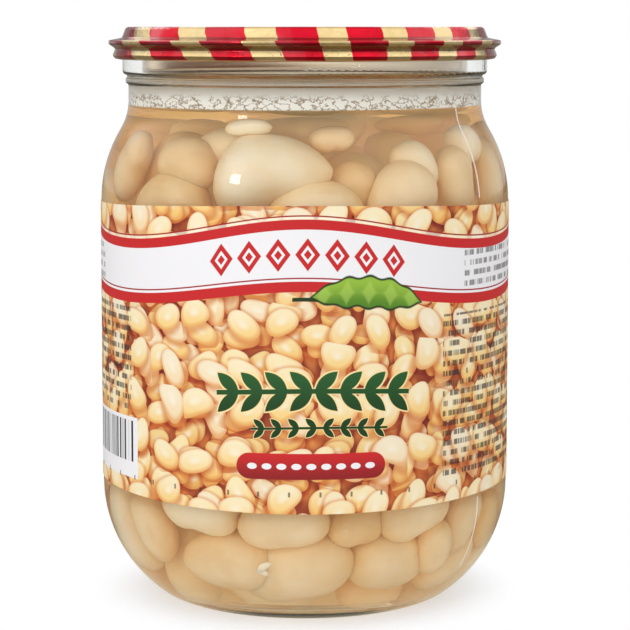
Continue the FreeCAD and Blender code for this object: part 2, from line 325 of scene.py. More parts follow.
def lid_material(box):
    """Lacquered tinplate: painted shade in its creases, scuffed and dirty in places, bare underneath."""
    s = Shader("lacquered tinplate")
    x, y, z = s.place_mm()
    radius = s.hypot(x, y)
    paint, gold_share = ray_print(s, x, y, z, radius, s.minus(box[1][2] / MM, z))

    def near(height, half):
        return s.ramp(s.size(s.minus(z, height)), 0.0, half, 1.0, 0.0)

    patchy = s.noise(s.vector(x, y, s.times(z, 0.5)), 0.12, 3.0)
    # painted shade: dark bands in the two creases and, on the red only, along the shoulder
    creases = s.larger(near(SHADED_CREASES[0], 0.7), s.times(near(SHADED_CREASES[1], 0.8), 0.75))
    shade = s.times(creases, s.add(0.30, s.times(patchy, 0.5)))
    shade = s.larger(shade, s.times(near(SHADED_SHOULDER, 0.9), s.minus(0.55, s.times(gold_share, 0.55))))
    paint = s.mix(shade, paint, s.mix(gold_share, srgb(70, 0, 6), srgb(84, 56, 20)))
    scuff = s.ramp(s.noise(s.vector(x, y, s.times(z, 2.0)), 0.55, 4.0, 0.65), 0.68, 0.74)
    dirt = s.ramp(s.noise(s.vector(x, y, s.times(z, 1.6)), 0.9, 3.0, 0.6), 0.60, 0.68)
    dirt = s.times(dirt, near(SKIRT_DIRT, 1.1))
    paint = s.mix(s.times(s.larger(scuff, dirt), 0.8), paint, srgb(50, 28, 20))
    nx, ny, nz = s.split(s.node("NewGeometry").outputs["Normal"])
    outward_part = s.over(s.times(s.add(s.times(nx, x), s.times(ny, y)), 0.6), radius)
    faces_out = s.add(outward_part, s.times(nz, 0.8))
    paint = s.mix(s.below(faces_out, -0.35, 0.05), paint, srgb(206, 176, 120))
    metal = {
        "Base Color": paint,
        "Metallic": 0.92,
        "Roughness": 0.2,
        "Coat Weight": s.ramp(patchy, 0.42, 0.60, 0.15, 1.0),
        "Coat Roughness": 0.08,
        "Normal": s.bump(s.noise(s.vector(x, y, z), 0.25, 3.0), 0.35, 0.0005),
    }
    return s.show(s.principled(metal))


# ------ the label's print
# Places on the paper are in mm: u runs round the jar from the middle of its front, v is the height.

PAPER_RADIUS = 44.16
PAPER_INSIDE = 44.10
WAVES = 3
BEAN_SPREAD = 0.52
PRINT_TONE = (0.96, 0.91, 0.76)
PRINT_RED = srgb(206, 12, 16)
DARK_RED = srgb(170, 24, 22)
PAPER_WHITE = srgb(243, 241, 242)

# pitch, shift along u, shift along v, brightness, colour of the undersides, colour of the tops
BEAN_LAYERS = (
    (7.6, 3.1, 7.9, 0.92, srgb(242, 182, 100), srgb(250, 216, 150)),
    (7.9, 11.7, 2.3, 0.96, srgb(246, 194, 112), srgb(252, 226, 168)),
    (8.3, 5.3, 17.1, 1.0, srgb(250, 206, 128), srgb(254, 236, 190)),
    (8.8, 23.9, 9.7, 1.0, srgb(252, 214, 140), srgb(255, 242, 208)),
    (9.3, 14.3, 21.9, 1.0, srgb(253, 220, 150), srgb(255, 245, 220)),
)

# the band: middle height, swing of its waves, swing of waves half as long
BANNER_TOP = (82.6, 2.75, 0.2)
BANNER_FOOT = (70.85, 2.15, 0.1)
# its stripes, as depths below the one edge and the other
TOP_LINE = (0.0, 0.30)
TOP_PALE = (0.30, 0.85)
TOP_STRIPE = (0.85, 2.85)
FOOT_LINE = (-0.05, 0.25)
FOOT_STRIPE = (0.75, 2.85)

LOZENGE_WAVE = (75.4, 2.3, 0.0)
LOZENGE_MIDDLE = 0.6
LOZENGE_PITCH = 5.9
LOZENGE_HALF = (2.5, 3.3)
LOZENGE_DOT = (0.8, 1.0)
LOZENGE_ROW = 20.6

# middle, half length, pitch of the leaves, half length and half width of a leaf
SPRIGS = (
    ((1.8, 49.6), 20.0, 5.0, (3.1, 1.25)),
    ((3.0, 42.6), 14.0, 3.5, (1.5, 0.62)),
)
SPRIG_HALO = srgb(252, 226, 160)
LEAF_TILT = 42
LEAF_LIFT = 0.62
STEM_RISE = 0.25
STEM_HALF = 0.16

POD_MIDDLE = (13.0, 69.4)
POD_TILT = -4
POD_HALF = (11.6, 2.9)
POD_SAG = 0.012
SEED_PITCH = 4.6

CAPSULE_MIDDLE = (1.3, 35.1)
CAPSULE_STRAIGHT = 12.6
CAPSULE_ROUND = 2.65
DOT_PITCH = 3.0
DOT_HALF = (1.0, 0.62)
DOT_ROW = 13.5

# broken rules: from u, to u, from v, to v, pitch of the lines, strength
RULES = (
    (30.5, 84.0, 30.8, 64.5, 2.05, 0.82),
    (36.8, 80.0, 69.6, 77.4, 2.1, 0.7),
    (-90.0, -42.0, 43.4, 65.0, 2.05, 0.85),
    (-90.0, -56.5, 69.4, 77.2, 2.1, 0.6),
)
BLOCK = ((-66.0, -39.8), (29.2, 42.0))
BARS = ((-65.0, -40.8), (32.6, 41.2))
TICKS = (28.9, 29.9)
TICK_PITCH = 6.3
TICK_HALF = 0.22


def bean_print(s, u, v):
    """A printed field of little beans: layers of bent ovals, each shaded pale above and amber below."""
    gap = s.ramp(s.noise(s.vector(u, v), 0.16, 2.0), 0.35, 0.65)
    colour = s.mix(gap, srgb(160, 66, 30), srgb(226, 146, 72))
    for pitch, shift_u, shift_v, light, amber, cream in BEAN_LAYERS:
        su = s.over(s.add(u, shift_u), pitch)
        sv = s.over(s.add(v, shift_v), pitch)
        inputs = {"Vector": s.vector(su, sv), "Scale": 1.0, "Randomness": BEAN_SPREAD}
        cell = s.node("TexVoronoi", inputs, voronoi_dimensions="2D")
        cu, cv, _ = s.split(cell.outputs["Position"])
        lot, lot_b, lot_c = s.split(cell.outputs["Color"])
        du = s.minus(su, cu)
        dv = s.minus(sv, cv)
        angle = s.times(lot, TURN)
        c, n = s.cos(angle), s.sin(angle)
        along = s.add(s.times(du, c), s.times(dv, n))
        across = s.minus(s.times(dv, c), s.times(du, n))
        bent = s.add(across, s.times(along, along, s.minus(lot_b, 0.2)), -0.01)
        half_long = s.add(0.36, s.times(lot_c, 0.11))
        half_wide = s.add(0.245, s.times(lot_b, 0.07))
        long_part = s.power(s.size(s.over(along, half_long)), 2.3)
        reach = s.root(s.add(long_part, s.power(s.size(s.over(bent, half_wide)), 2.0)))
        shadow = s.ramp(s.add(reach, s.times(dv, 0.5)), 1.5, 1.0, 0.0, 0.8)
        colour = s.mix(shadow, colour, s.mix(1.0, colour, srgb(226, 160, 100), "MULTIPLY"))
        height = s.ramp(s.add(dv, s.times(s.minus(lot_c, 0.5), 0.1)), -0.30, 0.30)
        body = s.mix(height, amber, cream)
        body = s.mix(s.times(s.ramp(lot, 0.55, 0.9), 0.6), body, srgb(250, 240, 232))
        rim = s.ramp(s.minus(reach, s.times(dv, 0.45)), 0.66, 1.12, 0.0, 0.72)
        body = s.mix(rim, body, srgb(234, 158, 78))
        glint = s.times(s.ramp(s.minus(reach, s.times(dv, 0.9)), 0.45, 0.0), 0.7)
        body = s.mix(glint, body, srgb(255, 252, 246))
        body = s.mix(1.0, body, (light, light, light), "MULTIPLY")
        colour = s.mix(s.below(reach, 1.0, 0.035), colour, body)
    return s.mix(1.0, colour, PRINT_TONE, "MULTIPLY")


class Sheet(Shader):
    """The label's material, with u and v of the point and the colour of its print so far."""

    def __init__(self, name):
        super().__init__(name)
        self.x, self.y, self.v = self.place_mm()
        self.turn = self.azimuth(self.x, self.times(self.y, -1.0))
        self.u = self.times(self.turn, PAPER_RADIUS)
        self.colour = bean_print(self, self.u, self.v)

    def paint(self, share, ink):
        self.colour = self.mix(share, self.colour, ink)

    def under_wave(self, middle, swing, flat):
        """How far the point lies below a line that waves round the jar."""
        long_wave = self.times(self.cos(self.times(self.turn, WAVES)), swing)
        short_wave = self.times(self.cos(self.times(self.turn, 2 * WAVES)), flat)
        return self.minus(self.add(middle, long_wave, short_wave), self.v)

    def from_point(self, middle):
        return self.minus(self.u, middle[0]), self.minus(self.v, middle[1])


def paint_banner(s):
    """A waved white band, edged with red stripes and fine dark lines."""
    below_top = s.under_wave(*BANNER_TOP)
    below_foot = s.under_wave(*BANNER_FOOT)
    s.paint(s.between(below_top, *TOP_LINE), DARK_RED)
    s.paint(s.between(below_top, *TOP_PALE), s.mix(0.55, s.colour, srgb(255, 248, 226)))
    band = s.times(s.ramp(below_top, 0.80, 0.90), s.below(below_foot, FOOT_STRIPE[0], 0.05))
    s.paint(band, PAPER_WHITE)
    s.paint(s.between(below_top, *TOP_STRIPE), PRINT_RED)
    s.paint(s.between(below_foot, *FOOT_LINE), DARK_RED)
    s.paint(s.between(below_foot, *FOOT_STRIPE), PRINT_RED)


def paint_lozenges(s):
    """A row of hollow lozenges on the band, each with a dot in it."""
    from_middle = s.minus(s.u, LOZENGE_MIDDLE)
    u = s.cell(s.add(from_middle, 0.5 * LOZENGE_PITCH), LOZENGE_PITCH)
    v = s.under_wave(*LOZENGE_WAVE)
    outline = s.size(s.minus(s.lozenge(u, v, *LOZENGE_HALF), 0.78))
    ink = s.larger(s.below(outline, 0.22, 0.03), s.below(s.lozenge(u, v, *LOZENGE_DOT), 1.0, 0.06))
    s.paint(s.times(ink, s.below(s.size(from_middle), LOZENGE_ROW, 0.05)), PRINT_RED)


def leaf_reach(s, x, y, half_long, half_wide):
    """Under 1 inside a leaf that lies along x."""
    return s.add(s.over(s.size(y), half_wide), s.power(s.over(s.size(x), half_long), 2.0))


def turned(s, x, y, degrees):
    """The same point in axes turned by degrees."""
    c, n = math.cos(math.radians(degrees)), math.sin(math.radians(degrees))
    return s.add(s.times(x, c), s.times(y, n)), s.minus(s.times(y, c), s.times(x, n))


def sprig_reach(s, x, y, half_length, pitch, leaf):
    """Under 1 inside a mirrored sprig: paired leaves at an even pitch along a gently arched stem."""
    x = s.size(x)
    y = s.minus(y, s.times(s.cos(s.times(x, 0.5 * math.pi / half_length)), STEM_RISE * leaf[0]))
    step = s.cell(x, pitch)
    lift = LEAF_LIFT * leaf[0]
    upper = leaf_reach(s, *turned(s, step, s.minus(y, lift), LEAF_TILT), *leaf)
    lower = leaf_reach(s, *turned(s, step, s.add(y, lift), -LEAF_TILT), *leaf)
    whole = s.smaller(s.smaller(upper, lower), s.over(s.size(y), STEM_HALF * leaf[0]))
    return s.add(whole, s.ramp(x, half_length, half_length + 0.05, 0.0, 9.0))


def paint_sprigs(s):
    """A sprig in two sizes, with a pale edge round it."""
    green = s.mix(s.ramp(s.v, 44.0, 56.0), srgb(16, 66, 20), srgb(34, 98, 40))
    for middle, half_length, pitch, leaf in SPRIGS:
        reach = sprig_reach(s, *s.from_point(middle), half_length, pitch, leaf)
        s.paint(s.below(reach, 1.28, 0.06), SPRIG_HALO)
        s.paint(s.below(reach, 1.0, 0.05), green)


def paint_pod(s):
    """A green pod and its stalk across the band's lower stripe."""
    u, v = turned(s, *s.from_point(POD_MIDDLE), POD_TILT)
    v = s.add(v, s.times(u, u, POD_SAG), -0.6)
    swell = s.add(1.0, s.times(s.cos(s.times(u, TURN / SEED_PITCH)), 0.10))
    across = s.over(s.size(v), s.times(swell, POD_HALF[1]))
    pod = s.add(across, s.power(s.over(s.size(u), POD_HALF[0]), 3.0))
    stalk = s.over(s.size(s.add(v, s.times(s.add(u, 13.5), 0.25))), 0.35)
    stalk = s.add(stalk, s.ramp(s.size(s.add(u, 12.8)), 2.6, 2.7, 0.0, 9.0))
    s.paint(s.below(s.smaller(pod, stalk), 1.12, 0.06), srgb(30, 60, 22))
    green = s.mix(s.ramp(v, -2.4, 2.4), srgb(84, 138, 20), srgb(150, 190, 52))
    seeds = s.add(s.size(s.sin(s.times(u, math.pi / SEED_PITCH))), s.over(s.size(v), 2.6))
    green = s.mix(s.times(s.below(seeds, 0.9, 0.25), 0.45), green, srgb(182, 214, 92))
    s.paint(s.below(pod, 0.96, 0.05), green)


def paint_capsule(s):
    """A red bar with round ends and a row of white dots."""
    u, v = s.from_point(CAPSULE_MIDDLE)
    past_straight = s.larger(s.minus(s.size(u), CAPSULE_STRAIGHT), 0.0)
    capsule = s.over(s.hypot(past_straight, v), CAPSULE_ROUND)
    shaded_red = s.mix(s.ramp(v, -2.6, 2.6), srgb(150, 4, 10), srgb(208, 12, 18))
    s.paint(s.below(capsule, 1.0, 0.03), shaded_red)
    dot_u = s.cell(s.add(u, 0.5 * DOT_PITCH), DOT_PITCH)
    dots = s.hypot(s.over(dot_u, DOT_HALF[0]), s.over(v, DOT_HALF[1]))
    s.paint(s.times(s.below(dots, 1.0, 0.08), s.below(s.size(u), DOT_ROW, 0.05)), PAPER_WHITE)


def paint_small_print(s):
    """Broken rules in place of small print, a block of upright bars, and ticks along the foot."""
    u, v = s.u, s.v
    for low_u, high_u, low_v, high_v, pitch, strength in RULES:
        line = s.math("FLOOR", s.over(v, pitch))
        within = s.size(s.minus(s.math("FRACT", s.over(v, pitch)), 0.5))
        words = s.noise(s.vector(s.times(u, 0.55), s.times(line, 7.3)), 1.0, 0.0)
        letters = s.noise(s.vector(s.times(u, 2.6), s.times(line, 3.1)), 1.0, 1.0)
        share = s.times(
            s.below(within, 0.27, 0.05),
            s.ramp(words, 0.36, 0.42),
            s.ramp(letters, 0.36, 0.5),
            s.between(u, low_u, high_u, 0.1),
            s.between(v, low_v, high_v, 0.1),
            strength,
        )
        s.paint(share, srgb(52, 44, 44))
    s.paint(s.times(s.between(u, *BLOCK[0]), s.between(v, *BLOCK[1])), PAPER_WHITE)
    bar = s.ramp(s.noise(s.vector(u, 3.7), 1.35, 0.0), 0.49, 0.52)
    s.paint(s.times(s.between(u, *BARS[0]), s.between(v, *BARS[1]), bar), srgb(38, 40, 52))
    tick = s.below(s.size(s.cell(u, TICK_PITCH)), TICK_HALF, 0.05)
    s.paint(s.times(tick, s.between(v, *TICKS), 0.75), srgb(60, 44, 34))


def label_material():
    """Printed paper: beans behind a white band, with plain motifs where a label has its words."""
    s = Sheet("printed label")
    paint_banner(s)
    paint_lozenges(s)
    paint_sprigs(s)
    paint_pod(s)
    paint_capsule(s)
    paint_small_print(s)
    s.paint(s.below(s.hypot(s.x, s.y), PAPER_INSIDE, 0.005), srgb(226, 222, 214))
    paper = {
        "Base Color": s.colour,
        "Roughness": 0.5,
        "Coat Weight": 0.12,
        "Coat Roughness": 0.25,
        "Normal": s.bump(s.noise(s.vector(s.x, s.y, s.v), 0.35, 3.0), 0.12, 0.0004),
    }
    return s.show(s.principled(paper))


# ------ the inside of the jar


def rings(node):
    """The (radius, height) pairs in mm at which a turned solid has vertices."""
    mesh = NODES[node].data
    places = np.empty(len(mesh.vertices) * 3)
    mesh.vertices.foreach_get("co", places)
    places = places.reshape(-1, 3) / MM
    radius = np.hypot(places[:, 0], places[:, 1])
    return np.unique(np.round(np.column_stack((radius, places[:, 2])), 2), axis=0)


def meridian(node, middle):
    """A turned solid's outline as (radius, height) points in mm, from its foot on the axis to its top."""
    pairs = rings(node)
    pairs = pairs[np.argsort(np.arctan2(pairs[:, 1] - middle, pairs[:, 0]))]
    kept = [pairs[0]]
    for pair in pairs[1:]:
        if np.hypot(*(pair - kept[-1])) > 0.05:
            kept.append(pair)
    return np.array(kept)


brine_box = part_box("brine")
BRINE_LEVEL = brine_box[1][2] / MM
BRINE_FOOT = brine_box[0][2] / MM
INSIDE = meridian("brine", 0.5 * (BRINE_LEVEL + BRINE_FOOT))
WALL = INSIDE[INSIDE[:, 1] < BRINE_LEVEL - 0.01]
BASE_RADIUS = 30.0


def outward(points):
    """Unit normals of an open outline that runs from foot to top, pointing away from the axis side."""
    along = np.gradient(points, axis=0)
    along /= np.linalg.norm(along, axis=1)[:, None]
    return np.column_stack((along[:, 1], -along[:, 0]))


def wall_radius(height):
    """The radius of the glass's inner wall at a height, above the pushed-up base."""
    side = WALL[np.argmax(WALL[:, 0] > BASE_RADIUS) :]
    return float(np.interp(height, side[:, 1], side[:, 0]))


def on_ring(radius, angle, height):
    """A point in metres, from a radius and a height in mm."""
    return radius * math.cos(angle) * MM, radius * math.sin(angle) * MM, height * MM


def turned_mesh(name, profile, steps, material):
    """A mesh made by turning (radius, height) points in mm about the axis; points on the axis close it."""
    verts, faces, rows = [], [], []
    for radius, height in profile:
        if radius < 1e-6:
            rows.append([len(verts)] * steps)
            verts.append((0, 0, height * MM))
        else:
            rows.append(range(len(verts), len(verts) + steps))
            verts += [on_ring(radius, TURN * step / steps, height) for step in range(steps)]
    for low, high in zip(rows, rows[1:]):
        for step in range(steps):
            nxt = (step + 1) % steps
            corners = dict.fromkeys((low[step], low[nxt], high[nxt], high[step]))
            if len(corners) > 2:
                faces.append(tuple(corners))
    return mesh_object(name, verts, faces, material)


def mesh_object(name, verts, faces, material, attributes=None):
    """A smooth-shaded mesh in the scene. attributes holds one number for each vertex, by name."""
    mesh = bpy.data.meshes.new(name)
    mesh.from_pydata([tuple(v) for v in verts], [], faces)
    for key, values in (attributes or {}).items():
        layer = mesh.attributes.new(name=key, type="FLOAT", domain="POINT")
        layer.data.foreach_set("value", np.asarray(values, dtype=np.float32))
    mesh.materials.append(material)
    mesh.shade_smooth()
    made = bpy.data.objects.new(name, mesh)
    bpy.context.collection.objects.link(made)
    return made


WALL_REACH = 0.15
MENISCUS_RISE = 0.45
MENISCUS_WIDTH = 1.6
MENISCUS_END = 9.0
MENISCUS_STEPS = 14


def make_brine():
    """The brine with its meniscus, reaching just into the glass so that no air shows between them."""
    side = WALL + outward(WALL) * WALL_REACH
    side[0] = (0.0, WALL[0][1] - WALL_REACH)
    edge = wall_radius(BRINE_LEVEL)
    profile = [tuple(p) for p in side if p[1] < BRINE_LEVEL + MENISCUS_RISE - 0.4]
    for step in range(MENISCUS_STEPS + 1):
        away = MENISCUS_END * (step / MENISCUS_STEPS) ** 1.6
        rise = MENISCUS_RISE * math.exp(-away / MENISCUS_WIDTH)
        radius = edge + (WALL_REACH if step == 0 else 0.0) - away
        profile.append((radius, BRINE_LEVEL + rise))
    profile.append((0.0, BRINE_LEVEL))
    piece = turned_mesh("brine_fill", profile, 256, brine_material())
    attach(piece, "root")
    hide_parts("brine")


# ------ beans


class Bean:
    """One bean: its size in mm, how it is bent and tapered, its tint, and where it lies."""

    def __init__(self, kind, length, width, thick, bend, taper, tint, rings=18, sides=16):
        self.kind, self.tint = kind, tint
        self.half = np.array((length, width, thick)) / 2
        self.bend, self.taper = bend, taper
        self.rings, self.sides = rings, sides
        self.phases = draws.uniform(0, TURN, 6)
        self.centre = np.zeros(3)
        self.turn = np.eye(3)
        self.placed = False

    def balls(self):
        """Five balls along the bean that stand for it while the beans settle."""
        reach = self.half[0] - 0.5 * (self.half[1] + self.half[2])
        centres, radii = [], []
        for share in (-1.0, -0.5, 0.0, 0.5, 1.0):
            x = share * reach
            along = x / self.half[0]
            full = (1 - abs(along) ** 2.3) ** (1 / 2.3)
            size = 0.5 * (self.half[1] + self.half[2]) * (1 + self.taper * along)
            centres.append((x, -self.bend * self.half[1] * (along**2 - 0.3), 0.0))
            radii.append(size * min(1.0, full + 0.12))
        return np.array(centres), np.array(radii)

    def surface(self):
        """Vertices in the bean's own axes, faces, and how near each vertex is to an end."""
        a, b, c = self.half
        verts, ends = [], []
        p = self.phases

        def point(along, ring, angle):
            y = ring * math.cos(angle)
            z = ring * math.sin(angle)
            full = 1 + self.taper * along
            y *= b * full
            z *= c * full
            y -= self.bend * b * (along**2 - 0.3)
            lump = 1 + 0.022 * math.sin(2.3 * along + 2 * angle + p[0])
            lump += 0.018 * math.sin(4.1 * along - angle + p[1])
            lump += 0.012 * math.sin(6.0 * along + 3 * angle + p[2])
            dent = 0.13 * math.exp(-((along / 0.22) ** 2)) * max(0.0, -math.cos(angle)) ** 6
            y = y * lump + dent * b
            z *= lump
            x = a * along * (1 + 0.02 * math.sin(angle + p[3]))
            verts.append((x, y, z))
            ends.append(abs(along) ** 4)

        point(-1.0, 0.0, 0.0)
        for row in range(1, self.rings):
            along = -math.cos(math.pi * row / self.rings)
            ring = (1 - abs(along) ** 2.25) ** (1 / 2.1)
            for step in range(self.sides):
                point(along, ring, TURN * step / self.sides)
        point(1.0, 0.0, 0.0)
        faces = []
        sides = self.sides
        top = len(verts) - 1 - sides
        for step in range(sides):
            nxt = (step + 1) % sides
            faces.append((0, 1 + nxt, 1 + step))
            faces.append((top + sides, top + step, top + nxt))
            for low in range(1, top, sides):
                faces.append((low + step, low + nxt, low + sides + nxt, low + sides + step))
        return np.array(verts), faces, ends


def at_azimuth(degrees):
    """The ways outward and along the wall, at an azimuth from the front."""
    angle = math.radians(degrees)
    facing = np.array((math.sin(angle), -math.cos(angle), 0.0))
    side = np.array((math.cos(angle), math.sin(angle), 0.0))
    return facing, side


def place_on_wall(bean, azimuth, height, gap, tilt):
    """Lays a bean flat against the glass, tilted by degrees from the level."""
    normal = outward(WALL)[np.argmin(np.abs(WALL[:, 1] - height) + (WALL[:, 0] < 25) * 1000)]
    facing, side = at_azimuth(azimuth)
    out = facing * normal[0] + np.array((0, 0, normal[1]))
    up = np.cross(out, side)
    if up[2] < 0:
        up = -up
    t = math.radians(tilt)
    long_axis = side * math.cos(t) + up * math.sin(t)
    wide_axis = -side * math.sin(t) + up * math.cos(t)
    deep_axis = np.cross(long_axis, wide_axis)
    bean.turn = np.column_stack((long_axis, wide_axis, deep_axis))
    on_wall = facing * wall_radius(height) + np.array((0, 0, height))
    bean.centre = on_wall - out * (bean.half[2] + gap)
    bean.placed = True
    return bean


# azimuth, height, gap to the glass, length, width, thickness, tilt, bend, taper, tint
# the last four are two pale pieces near the brine's surface and two shreds of skin at the foot
FRONT_BEANS = (
    (-10.6, 94.5, 0.5, 23.2, 14.4, 12.5, 12, 0.36, -0.36, 0.2),
    (-41.0, 95.9, 1.6, 14.0, 10.0, 9.5, -14, 0.1, -0.08, 0.65),
    (-46.0, 86.4, 0.8, 19.0, 12.5, 11.0, 10, 0.12, 0.05, 0.6),
    (3.6, 85.0, 0.6, 18.4, 13.0, 11.5, 0, 0.1, 0.02, 0.15),
    (31.0, 87.4, 0.4, 17.0, 13.0, 11.5, 48, 0.05, 0.1, 0.02),
    (16.0, 91.3, 5.0, 10.0, 9.0, 8.5, 60, 0.1, 0.0, 0.6),
    (24.0, 93.2, 12.5, 15.5, 10.5, 10.0, -20, 0.2, 0.0, 0.5),
    (39.0, 95.7, 3.0, 11.0, 8.5, 8.0, -50, 0.15, 0.0, 0.05),
    (54.0, 91.0, 1.5, 14.0, 9.5, 8.5, 82, 0.1, 0.05, 0.1),
    (75.0, 90.5, 0.8, 15.5, 9.5, 8.5, 84, 0.1, 0.0, 0.2),
    (64.0, 99.0, 1.5, 11.0, 8.5, 8.0, 10, 0.15, 0.0, 0.05),
    (-68.0, 94.1, 0.8, 14.0, 9.5, 8.5, 80, 0.12, 0.0, 0.35),
    (-30.0, 100.6, 6.0, 15.0, 10.0, 9.5, 8, 0.3, 0.0, 0.25),
    (-27.0, 10.3, 0.6, 20.0, 12.4, 11.0, 2, 0.06, 0.1, 0.35),
    (-2.4, 8.7, 0.6, 22.5, 14.6, 12.0, 22, 0.06, 0.03, 0.2),
    (29.8, 10.3, 0.6, 17.0, 12.4, 11.0, -8, 0.06, -0.1, 0.25),
    (-34.3, 24.3, 0.8, 17.5, 12.2, 10.0, -10, 0.15, 0.0, 0.35),
    (-6.5, 21.2, 0.6, 18.0, 11.0, 10.0, 6, 0.1, 0.05, 0.15),
    (16.2, 20.0, 2.2, 11.5, 9.0, 8.5, 10, 0.1, 0.0, 0.8),
    (36.0, 22.6, 0.8, 16.5, 11.0, 10.0, 16, 0.08, 0.0, 0.2),
    (57.0, 18.6, 0.6, 13.5, 9.0, 8.5, 64, 0.08, 0.0, 0.25),
    (58.0, 8.8, 0.6, 14.5, 10.0, 9.0, 40, 0.08, 0.0, 0.3),
    (-56.0, 17.0, 0.8, 14.5, 9.5, 9.0, -66, 0.1, 0.0, 0.3),
    (9.8, 102.2, 5.0, 9.0, 6.0, 5.5, 10, 0.1, 0.0, 0.0),
    (-19.0, 102.9, 1.2, 9.5, 4.2, 4.0, 4, 0.2, 0.0, 0.0),
    (-12.3, 13.6, 0.1, 3.6, 1.5, 1.0, 42, 0.4, -0.2, 0.0),
    (-13.0, 12.4, 0.1, 2.4, 1.2, 0.9, -20, 0.3, 0.2, 0.0),
)

# kind, share of the batch up to it, and the ranges of length, width, thickness, bend and taper
BATCH = (
    ("kidney", 0.52, (18, 22.5), (12, 14), (10.5, 12.2), (0.15, 0.42), (-0.12, 0.12)),
    ("oval", 0.84, (14.5, 18), (10.5, 12.5), (9.5, 11), (0.0, 0.12), (-0.08, 0.08)),
    ("small", 1.0, (11, 14), (8.5, 10), (8, 9), (0.05, 0.2), (-0.1, 0.1)),
)

# kind, name of its skin, colour of the palest bean and of the deepest
BEAN_SKINS = (
    ("kidney", "bean skin", srgb(246, 233, 208), srgb(228, 196, 144)),
    ("oval", "yellower bean skin", srgb(247, 225, 190), srgb(224, 184, 126)),
    ("small", "small bean skin", srgb(247, 222, 184), srgb(232, 192, 132)),
)

BEAN_COUNT = 250
START_RADIUS = 34
START_HEIGHTS = (14, 98)
WALL_ROOM = 0.15
SURFACE_ROOM = 1.2
SETTLE_STEPS = 260
SINK = 0.03


def loose_bean():
    """A bean of a kind and size drawn from what one batch holds."""
    lot = random.random()
    tint = random.uniform(0.1, 0.9)
    kind, _, *ranges = next(row for row in BATCH if lot < row[1])
    sizes = [random.uniform(low, high) for low, high in ranges]
    return Bean(kind, *sizes, tint)


def wall_push(places, radii):
    """How far each ball must move to lie inside the jar and under the brine's surface."""
    rho = np.hypot(places[:, 0], places[:, 1])
    flat = np.column_stack((rho, places[:, 2]))
    start, end = WALL[:-1], WALL[1:]
    run = end - start
    share = np.einsum("nsk,sk->ns", flat[:, None] - start[None], run) / (run**2).sum(1)
    nearest = start[None] + np.clip(share, 0, 1)[..., None] * run[None]
    gap = flat[:, None] - nearest
    far = (gap**2).sum(2)
    pick = far.argmin(1)
    rows = np.arange(len(flat))
    inward = -np.column_stack((run[:, 1], -run[:, 0])) / np.linalg.norm(run, axis=1)[:, None]
    depth = (gap[rows, pick] * inward[pick]).sum(1)
    lack = np.maximum(0, radii + WALL_ROOM - depth)
    move = np.zeros_like(places)
    radial = places[:, :2] / np.maximum(rho, 1e-6)[:, None]
    move[:, :2] = radial * (lack * inward[pick][:, 0])[:, None]
    move[:, 2] = lack * inward[pick][:, 1]
    move[:, 2] -= np.maximum(0, places[:, 2] + radii - (BRINE_LEVEL - SURFACE_ROOM))
    return move


def settle(beans, steps):
    """Grows the loose beans from half size, lets them sink, and pushes overlaps apart until few are left."""
    shapes = [bean.balls() for bean in beans]
    local = np.array([shape[0] for shape in shapes])
    radii = np.array([shape[1] for shape in shapes])
    centre = np.array([bean.centre for bean in beans])
    turn = np.array([bean.turn for bean in beans])
    loose = np.array([not bean.placed for bean in beans])
    count, balls = radii.shape
    owner = np.repeat(np.arange(count), balls)
    other = owner[:, None] != owner[None]
    weight = np.where(loose, 0.5, 0.0)[owner]
    for step in range(steps):
        grown = np.where(loose, min(1.0, 0.5 + 0.5 * step / (0.6 * steps)), 1.0)
        shape = local * grown[:, None, None]
        places = (centre[:, None] + np.einsum("nij,nbj->nbi", turn, shape)).reshape(-1, 3)
        size = (radii * grown[:, None]).reshape(-1)
        square = (places**2).sum(1)
        distance = np.sqrt(np.maximum(square[:, None] + square[None] - 2 * places @ places.T, 1e-9))
        overlap = np.where(other, size[:, None] + size[None] - distance, 0)
        first, second = np.nonzero(overlap > 0)
        away = (places[first] - places[second]) / distance[first, second][:, None]
        share = np.where(weight[second] > 0, 0.5, 1.0)
        push = away * (overlap[first, second] * share)[:, None]
        move = np.zeros_like(places)
        hits = np.ones(len(places))
        np.add.at(move, first, push)
        np.add.at(hits, first, 1)
        move /= np.maximum(1, 0.6 * hits)[:, None]
        move += wall_push(places, size)
        move[:, 2] -= SINK if step < 0.8 * steps else 0.0
        goal = (places + move).reshape(count, balls, 3)
        middle = goal.mean(1)
        spread = np.einsum("nbi,nbj->nij", goal - middle[:, None], shape - shape.mean(1)[:, None])
        left, _, right = np.linalg.svd(spread)
        flip = np.linalg.det(left @ right)
        left[:, :, 2] *= flip[:, None]
        new_turn = left @ right
        new_centre = middle - np.einsum("nij,nj->ni", new_turn, shape.mean(1))
        centre[loose] = new_centre[loose]
        turn[loose] = new_turn[loose]
    for bean, place, way in zip(beans, centre, turn):
        bean.centre, bean.turn = place, way
    return float(np.maximum(overlap, 0).max())


def random_turn():
    """An even random rotation."""
    w, x, y, z = draws.normal(size=4)
    n = math.sqrt(w * w + x * x + y * y + z * z)
    w, x, y, z = w / n, x / n, y / n, z / n
    rows = (
        (1 - 2 * (y * y + z * z), 2 * (x * y - z * w), 2 * (x * z + y * w)),
        (2 * (x * y + z * w), 1 - 2 * (x * x + z * z), 2 * (y * z - x * w)),
        (2 * (x * z - y * w), 2 * (y * z + x * w), 1 - 2 * (x * x + y * y)),
    )
    return np.array(rows)


